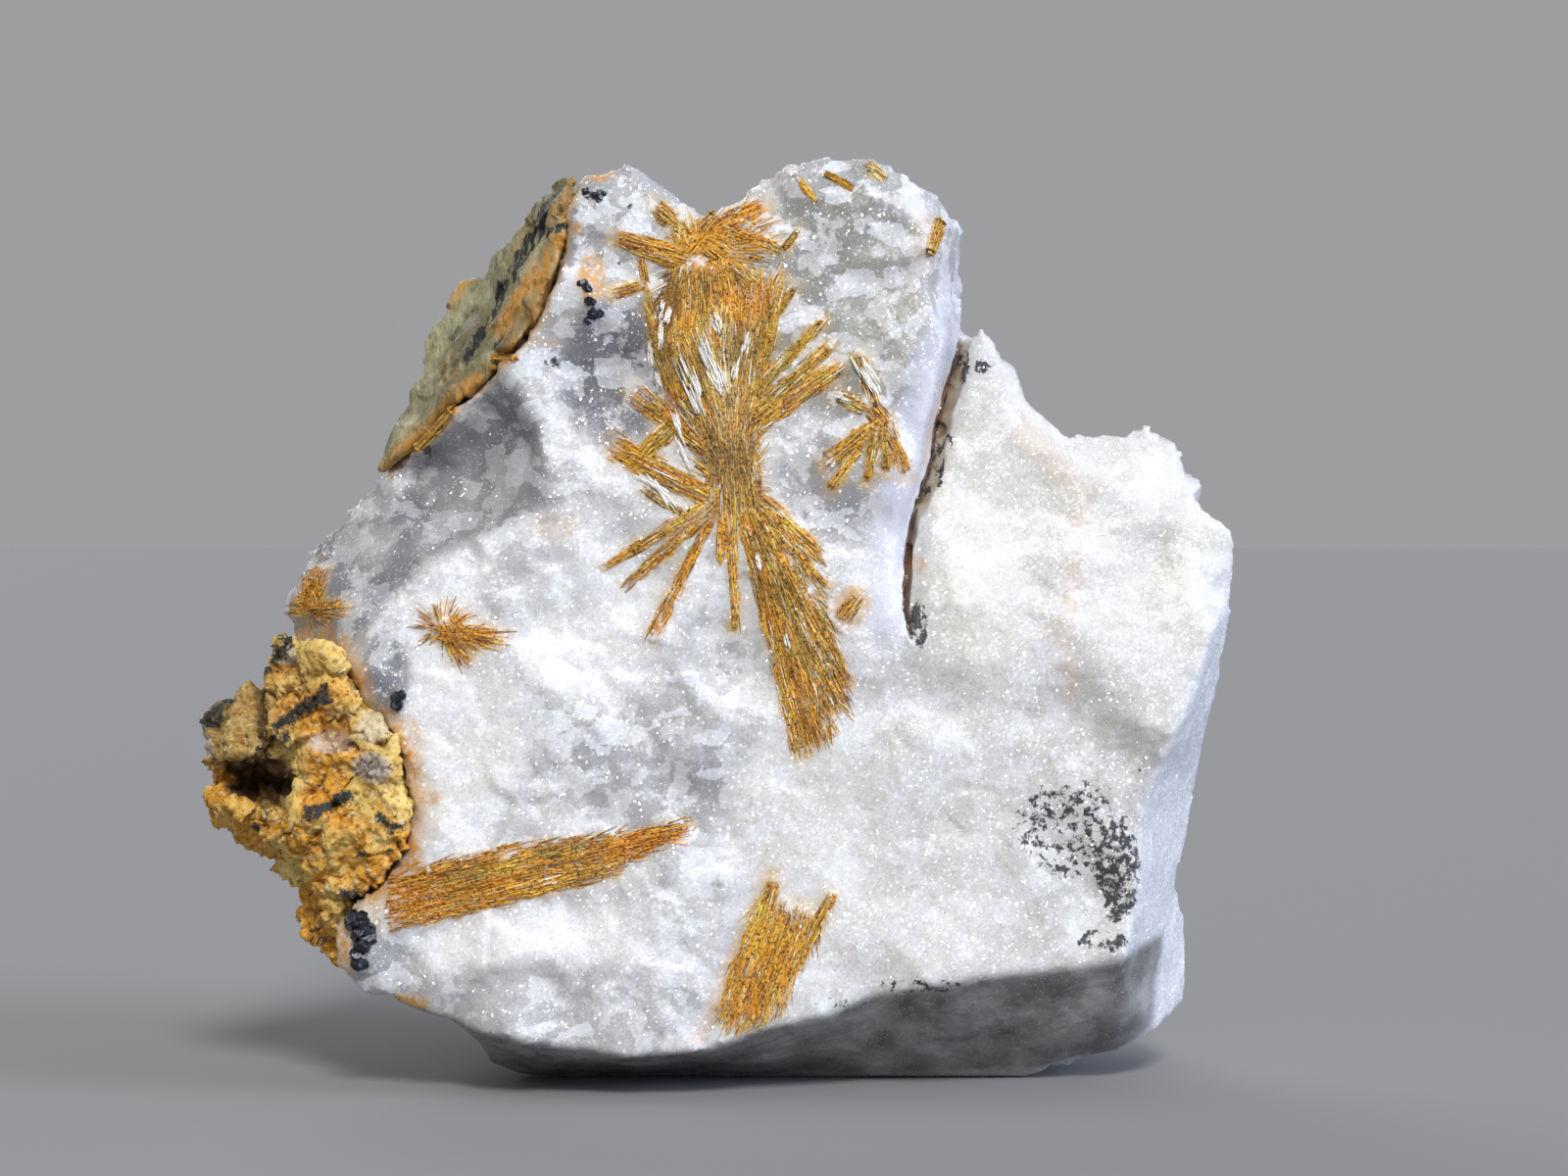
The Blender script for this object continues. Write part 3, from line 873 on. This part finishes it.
def make_vein(material, trees):
    """The dark filling deep in the crack: a ribbon of eight-sided rows that wanders and swells."""
    sides = 8
    rows = []
    for (x0, z0), (x1, z1) in zip(CRACK, CRACK[1:]):
        count = max(1, round(math.dist((x0, z0), (x1, z1)) / 0.22))
        for i in range(count):
            t = i / count
            rows.append((x0 + (x1 - x0) * t, z0 + (z1 - z0) * t, x1 - x0, z1 - z0))
    rows = [row for row in rows if 39.2 < row[1] < 64.2]
    at = np.array([(row[0], 0.0, row[1]) for row in rows])
    wander = 0.12 * value_noise(at, 1.6, 51)
    swell = 0.13 + 0.07 * value_noise(at, 2.3, 52) + 0.06 * value_noise(at, 0.6, 53)
    swell *= np.interp(np.arange(len(rows)), [0, 6, len(rows) - 12, len(rows) - 1], [0.4, 1, 1.3, 0.4])
    points = []
    for k, (x, z, dx, dz) in enumerate(rows):
        long = math.hypot(dx, dz)
        nx, nz = -dz / long, dx / long
        middle, _ = surface(trees, x + nx * 0.03, z)
        for turn in range(sides):
            angle = math.tau * turn / sides
            off = wander[k] + swell[k] * math.cos(angle)
            points.append((x + nx * off, middle[1] + 0.12 - 0.22 * math.sin(angle), z + nz * off))
    points = np.array(points)
    points[:, 1] += 0.1 * value_noise(points, 0.5, 54)
    faces = [tuple(range(sides))]
    for k in range(len(rows) - 1):
        a, b = sides * k, sides * (k + 1)
        faces += [(a + i, b + i, b + (i + 1) % sides, a + (i + 1) % sides) for i in range(sides)]
    faces.append(tuple(sides * len(rows) - 1 - i for i in range(sides)))
    mesh = bpy.data.meshes.new("vein_filling")
    mesh.from_pydata([tuple(p * MM) for p in points], [], faces)
    redness = np.maximum(smooth(value_noise(points, 3.0, 55) + 0.2),
                         patches(points[:, 0], points[:, 2], RED_VEIN_PATCHES))
    paint(mesh, blend(VEIN_BLACK, redness, VEIN_RED))
    place("vein_filling", mesh, material, "seam_vein")


def make_crust(material):
    mesh = to_mesh(skin("ochre_mass", ["ochre_crust"], CRUST_VOXEL), "ochre_mass")
    relax(mesh, 2)
    co, out = points_of(mesh) / MM, normals_of(mesh)
    x, z = co[:, 0], co[:, 2]
    front = smooth((0.5 - out[:, 1]) / 0.5)
    cleft = beside(x, z, CLEFT, 0.9, 0.8)
    pit = patches(x + 0.7 * value_noise(co, 1.3, 39), z + 0.5 * value_noise(co, 1.1, 40), PIT_PATCHES)
    # Crumbs of many sizes, with cracks between the larger ones
    push = 0.25 + facets(co, 2.8, 0.30, 31) + facets(co, 1.3, 0.20, 32) + facets(co, 0.7, 0.18, 36)
    push += 0.4 * cloud(co, 2.6, 4, 33) + facets(co, 0.42, 0.20, 61) + 0.1 * value_noise(co, 0.45, 62)
    _, _, gap = cells(co, 1.7, 34)
    push += 0.16 * cloud(co, 0.7, 2, 38)
    push -= 0.6 * smooth((0.2 - gap) / 0.2) * smooth(0.5 + value_noise(co, 3.0, 35))
    # Smears of dark metal stand out a little
    metal = np.zeros(len(co))
    for x0, z0, x1, z1, half in METAL_LINES:
        d = line_distance(x, z, [(x0, z0), (x1, z1)])
        metal = np.maximum(metal, smooth(0.5 + (1.15 * half - d) / (1.1 + half)))
    push += 0.25 * metal - front * (0.3 * pit + 0.9 * cleft)
    set_points(mesh, (co + out * push[:, None]) * MM)
    warm = smooth(0.5 + 0.9 * cloud(co, 3.5, 3, 37))
    colours = blend(CRUST_ORANGE, warm, CRUST_YELLOW)
    colours = blend(colours, 0.6 * region(x, z, KNOB, 1.2), KNOB_BROWN)
    colours = blend(colours, patches(x, z, PALE_PATCHES) * front, CRUST_PALE)
    paint(mesh, blend(colours, 0.5 * smooth(0.2 - push * 1.8), CREVICE_BROWN))
    set_attribute(mesh, "pit", front * np.maximum(0.95 * pit, 0.8 * cleft))
    set_attribute(mesh, "metal", 0.55 * metal * np.maximum(front, 0.5))
    return place("ochre_mass", mesh, material, "ochre_crust")


def make_rind(material):
    mesh = to_mesh(skin("schist_skin", ["schist_rind"], RIND_VOXEL), "schist_skin")
    relax(mesh, 3)
    co, out = points_of(mesh) / MM, normals_of(mesh)
    x, z = co[:, 0], co[:, 2]
    # Layers run down to the left, as the black streak does
    layers = np.stack([x * 0.907 - z * 0.42, co[:, 1] * 0.6, (x * 0.42 + z * 0.907) * 0.22], axis=1)
    warp = 0.3 * value_noise(co, 1.2, 45)
    streak = taper_lines(x + warp, z, [BLACK_STREAK, *SMALL_STREAKS])
    push = 0.2 + 0.30 * cloud(layers, 1.7, 3, 41) + facets(layers, 1.8, 0.16, 42) + facets(co, 3.0, 0.12, 43)
    set_points(mesh, (co + out * (push - 0.2 * streak)[:, None]) * MM)
    pale = smooth(0.5 + 0.8 * cloud(co, 5.0, 3, 46))
    rim = smooth((co[:, 1] - 1) / 10)  # the outer rim darkens to brown
    colours = blend(RIND_DARK, pale, RIND_PALE)
    paint(mesh, blend(colours, 0.75 * rim, RIM_BROWN))
    set_attribute(mesh, "black", 0.62 * np.maximum(streak, 0.35 * rim))
    rust = np.maximum(0.6 * beside(x, z, RIND_CREASE, 1.6, 1.4), 0.35 * smooth(cloud(co, 4.0, 2, 44) * 1.5 - 0.2))
    rust = np.maximum(rust, taper_lines(x + warp, z, RUST_BANDS, 0.7))
    set_attribute(mesh, "rust", rust * (1 - streak))
    return place("schist_skin", mesh, material, "schist_rind")


def surface(trees, x, z):
    """The nearest point of the dressed stone in front of x, z, and its normal, in millimetres."""
    best = None
    for tree in trees:
        hit, normal, _, _ = tree.ray_cast(Vector((x * MM, -0.1, z * MM)), FACE_WAY)
        if hit is not None and (best is None or hit.y < best[0].y):
            best = (hit, normal)
    if best is None:
        best = trees[0].find_nearest(Vector((x * MM, -0.015, z * MM)))
    return np.array(best[0]) / MM, np.array(best[1])


class Needles:
    """Gathers the needles of one cluster, which lie on the stone, and makes one mesh of them."""

    def __init__(self, trees, seed):
        self.trees = trees
        self.chance = random.Random(seed)
        self.points, self.faces, self.tints, self.silver = [], [], [], []

    def colour(self, look):
        palette = LOOKS[look]
        pick = self.chance.uniform(0, sum(share for _, share in palette))
        for tone, share in palette:
            pick -= share
            if pick <= 0:
                break
        bright = self.chance.uniform(0.78, 1.2)
        return tuple(min(1.0, c * bright) for c in tone)

    def shine(self, look):
        """1 for the few needles that flash white."""
        return float(self.chance.random() < SHINY_SHARE * (look != "r"))

    def add(self, x, z, way, length, half, lift, tint, silver=0.0, flat=0.7):
        """A slender prism from x, z along way, blunt at both ends. None is made across a step in the stone."""
        dx, dz = math.cos(way), math.sin(way)
        first_point, n0 = surface(self.trees, x, z)
        last_point, n1 = surface(self.trees, x + dx * length, z + dz * length)
        if abs(first_point[1] - last_point[1]) > 0.9 * length + 0.6:
            return
        out = n0 + n1
        out /= np.linalg.norm(out)
        start = len(self.points)
        side = np.cross(last_point - first_point, out)
        side /= np.linalg.norm(side) + 1e-9
        roll = self.chance.uniform(-0.7, 0.7)
        a = side * math.cos(roll) + out * math.sin(roll)
        b = out * math.cos(roll) - side * math.sin(roll)
        for share, size, rise in NEEDLE_RINGS:
            centre = first_point + (last_point - first_point) * share + out * (lift + rise)
            shade = self.chance.uniform(0.85, 1.12)
            for turn in NEEDLE_TURNS:
                p, q = math.cos(math.tau * turn), math.sin(math.tau * turn)
                self.points.append(centre + a * p * half * size + b * q * half * size * flat)
                self.tints.append([min(1.0, c * shade) for c in tint])
                self.silver.append(silver)
        for i in range(2):
            for k in range(3):
                p, q = start + 3 * i + k, start + 3 * i + (k + 1) % 3
                self.faces.append((p, q, q + 3, p + 3))
        self.faces.append((start + 2, start + 1, start))
        self.faces.append((start + 6, start + 7, start + 8))

    def lath(self, row):
        """Short needles bundled along one lath, whose edges waver."""
        x0, z0, x1, z1, w0, w1, look = row
        chance = self.chance
        length = math.dist((x0, z0), (x1, z1))
        way = math.atan2(z1 - z0, x1 - x0)
        ax, az = math.cos(way), math.sin(way)
        wave = chance.uniform(0, 50)
        crowd = 2.0 if max(w0, w1) < THIN_LATH else 1.0
        for _ in range(round(length * (w0 + w1) / 2 * NEEDLES_PER_MM2 * crowd)):
            long = min(chance.uniform(*NEEDLE_LENGTHS), 0.7 * length)
            t = chance.uniform(-0.02, 1.04 - long / length)
            u = chance.uniform(-0.5, 0.5)
            ragged = 1.0 + 0.16 * math.sin(wave + t * length * 1.9) + 0.1 * math.sin(wave * 3 + t * length * 4.7)
            width = (w0 + (w1 - w0) * t) * ragged
            spread = math.atan2(u * (w1 - w0), length)
            x = x0 + ax * length * t + az * u * width
            z = z0 + az * length * t - ax * u * width
            crown = SPRAY_CROWN * (1 - (1.9 * u) ** 2) * min(1.0, max(w0, w1) / 1.6)
            lift = chance.uniform(-0.04, 0.08) + max(-0.02, crown * chance.uniform(0.5, 1.0))
            colour, shine = self.colour(look), self.shine(look)
            lean = way - spread + chance.gauss(0, 0.035)
            self.add(x, z, lean, long, chance.uniform(*NEEDLE_HALF_WIDTHS), lift, colour, shine)

    def fill(self, outline, centre, look):
        """Needles that radiate from the centre, all over an outline."""
        chance = self.chance
        xs, zs = [p[0] for p in outline], [p[1] for p in outline]
        box = (max(xs) - min(xs)) * (max(zs) - min(zs))
        count = round(box * NEEDLES_PER_MM2 * 0.8)
        spots = [(chance.uniform(min(xs), max(xs)), chance.uniform(min(zs), max(zs))) for _ in range(count)]
        at = np.array(spots)
        inside = region(at[:, 0], at[:, 1], outline, 0.5) > 0.5
        for (x, z), keep in zip(spots, inside):
            long = chance.uniform(*FILL_LENGTHS)
            way = math.atan2(z - centre[1], x - centre[0]) + chance.gauss(0, 0.16)
            half, lift = chance.uniform(*NEEDLE_HALF_WIDTHS), chance.uniform(0.0, 0.22)
            colour, shine = self.colour(look), self.shine(look)
            if keep:
                self.add(x, z, way, long, half, lift, colour, shine)

    def blade(self, x, z, degrees, length, width):
        """A flat glassy blade, made of slivers side by side."""
        way = math.radians(degrees)
        x, z = x - math.cos(way) * length / 2, z - math.sin(way) * length / 2
        for _ in range(SLIVERS):
            off = self.chance.uniform(-0.7, 0.7) * width
            start = self.chance.uniform(0, 0.6) * length
            self.add(
                x + math.cos(way) * start - math.sin(way) * off, z + math.sin(way) * start + math.cos(way) * off,
                way + self.chance.gauss(0, 0.05), length * self.chance.uniform(0.25, 0.5),
                self.chance.uniform(*SLIVER_HALF_WIDTHS), self.chance.uniform(0.36, 0.46), SLIVER_WHITE, 1.0, 0.6,
            )

    def mesh(self, name, bed):
        """All needles in one mesh, over the form of the CAD solid as their bed."""
        start = len(self.points)
        for v in bed.vertices:
            self.points.append(np.array(v.co - v.normal * BED_DEPTH * MM) / MM)
            self.tints.append(self.colour("t"))
            self.silver.append(0.0)
        self.faces += [tuple(start + k for k in f.vertices) for f in bed.polygons]
        mesh = bpy.data.meshes.new(name)
        mesh.from_pydata([tuple(p * MM) for p in self.points], [], self.faces)
        # Whole patches of the spray are darker, greener or more orange
        at = np.array(self.points)
        tints = np.array(self.tints) * (1 + 0.28 * value_noise(at, 2.2, 71) + 0.2 * value_noise(at, 0.9, 72))[:, None]
        for *patch, tone in SPRAY_TONES:
            near = patches(at[:, 0], at[:, 2], [patch])
            tints = blend(tints, near * (0.8 + 0.4 * value_noise(at, 0.7, 74)), tone)
        tints = blend(tints, 0.3 * smooth(value_noise(at, 3.2, 73) * 1.4), SHADOW_BROWN)
        paint(mesh, np.clip(tints * 1.2, 0, 1))
        set_attribute(mesh, "silver", self.silver)
        return mesh


def make_spray(name, trees, material, seed):
    """The needles of one cluster."""
    needles = Needles(trees, seed)
    for row in SPRAYS[name]:
        needles.lath(row)
    for row in FILLS.get(name, []):
        needles.fill(*row)
    for row in GLASSY_BLADES.get(name, []):
        needles.blade(*row)
    node = f"ardennite_{name}"
    mesh = needles.mesh(f"{name}_needles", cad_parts[node].data)
    place(f"{name}_needles", mesh, material, node)
    mesh.shade_flat()


def make_plates(name, node, spots, trees, material, seed):
    """Small tabular crystals, half sunk in the stone."""
    chance = random.Random(seed)
    bm = bmesh.new()
    for x, z, size in spots:
        for _ in range(4):
            point, normal = surface(trees, x + chance.uniform(-0.5, 0.5) * size, z + chance.uniform(-0.5, 0.5) * size)
            radius = size * chance.uniform(0.45, 0.9)
            made = bmesh.ops.create_cone(bm, cap_ends=True, segments=6, radius1=radius * MM,
                                         radius2=radius * 0.8 * MM, depth=radius * 0.9 * MM)
            way = Vector(normal) + Vector([chance.uniform(-0.7, 0.7) for _ in range(3)])
            matrix = way.to_track_quat("Z", "Y").to_matrix().to_4x4()
            matrix.translation = Vector((point + normal * radius * 0.15) * MM)
            bmesh.ops.transform(bm, matrix=matrix, verts=made["verts"])
    mesh = to_mesh(bm, name)
    place(name, mesh, material, node)
    mesh.shade_flat()


def make_stage():
    bpy.ops.mesh.primitive_plane_add(size=6, location=(0, 0, 0))
    floor = bpy.context.object
    floor.name = "floor"
    material, tree, shader = new_material("pale_floor")
    set_sockets(tree, shader, {"Base Color": FLOOR, "Roughness": 0.9})
    floor.data.materials.append(material)
    world = bpy.data.worlds.new("soft_studio")
    world.use_nodes = True
    set_sockets(world.node_tree, world.node_tree.nodes["Background"], {"Color": SKY, "Strength": SKY_STRENGTH})
    bpy.context.scene.world = world
    bpy.context.scene.view_settings.view_transform = "Standard"


def make_light(name, way, strength, softness, colour):
    """A sun that shines from that direction, with a soft edge to its shadows."""
    data = bpy.data.lights.new(name, "SUN")
    data.energy = strength
    data.angle = math.radians(softness)
    data.color = colour
    light = bpy.data.objects.new(name, data)
    bpy.context.scene.collection.objects.link(light)
    light.location = Vector(way) * 0.3
    light.rotation_euler = Vector(way).to_track_quat("Z", "Y").to_euler()


def make_camera():
    data = bpy.data.cameras.new("camera")
    data.lens = LENS
    data.sensor_width = SENSOR
    camera = bpy.data.objects.new("camera", data)
    bpy.context.scene.collection.objects.link(camera)
    distance = LENS / SENSOR * IMAGE_WIDTH / PIXELS_PER_MM
    aim_x = (IMAGE_CENTRE[0] - ORIGIN_PIXEL[0]) / PIXELS_PER_MM
    aim_z = (ORIGIN_PIXEL[1] - IMAGE_CENTRE[1]) / PIXELS_PER_MM
    tilt = math.radians(LOOK_DOWN)
    camera.location = Vector((
        aim_x, FACE_DEPTH - distance * math.cos(tilt), aim_z + distance * math.sin(tilt),
    )) * MM
    camera.rotation_euler = (math.radians(90) - tilt, 0, 0)
    bpy.context.scene.camera = camera


def main():
    make_camera()
    make_stage()
    for name, sun in SUNS.items():
        make_light(name, *sun)

    golden = ardennite_material()
    black = hematite_material()
    quartz = make_quartz(quartz_material())
    rind = make_rind(rind_material())
    crust = make_crust(crust_material())
    trees = [BVHTree.FromObject(o, bpy.context.evaluated_depsgraph_get()) for o in (quartz, rind, crust)]

    for seed, name in enumerate(SPRAYS):
        make_spray(name, trees, golden, seed)
    make_plates("cluster_plates", "hematite_cluster", HEMATITE_CLUSTER, trees, black, 101)
    make_plates("grain_plates", "hematite_grains", HEMATITE_GRAINS, trees, black, 102)
    make_plates("lath_plates", "hematite_lath", HEMATITE_LATH, trees, black, 103)
    make_vein(vein_material(), trees[:1])


main()
